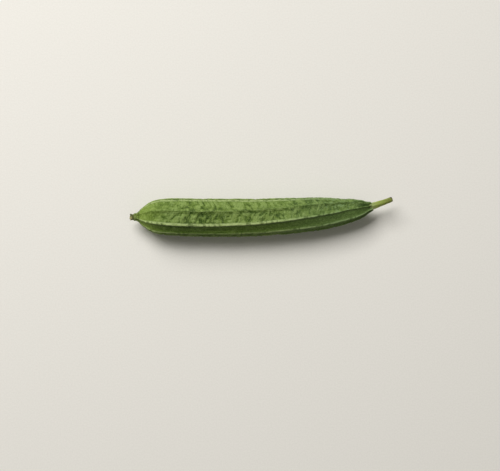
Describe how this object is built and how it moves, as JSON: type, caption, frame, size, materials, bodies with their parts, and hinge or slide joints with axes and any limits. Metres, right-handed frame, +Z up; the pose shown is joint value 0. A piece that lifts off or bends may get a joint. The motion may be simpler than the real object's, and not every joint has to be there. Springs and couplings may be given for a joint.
{
  "type": "ridge gourd",
  "caption": "Long slender ribbed gourd as picked, tapering to a cut stalk at one end and a short neck with a withered flower at the other; it lies on its side.",
  "frame": {"origin": "centre of the footprint box, on the surface that the gourd rests on", "axes": "+X along the gourd from the withered flower to the stalk, +Z up as it lies, +Y towards the side that the stalk bends to"},
  "size_m": [0.2532, 0.0378, 0.0352],
  "materials": {
    "skin": "waxy semi-matt green skin, paler on the ridges, finely bumpy",
    "stalk": "matt fibrous yellow-green, brown at the cut",
    "dry_flower": "dry, crinkled, straw to brown-green"
  },
  "bodies": {
    "root": {"fruit": "skin", "stalk": "stalk", "flower_remnant": "dry_flower"}
  },
  "joints": []
}
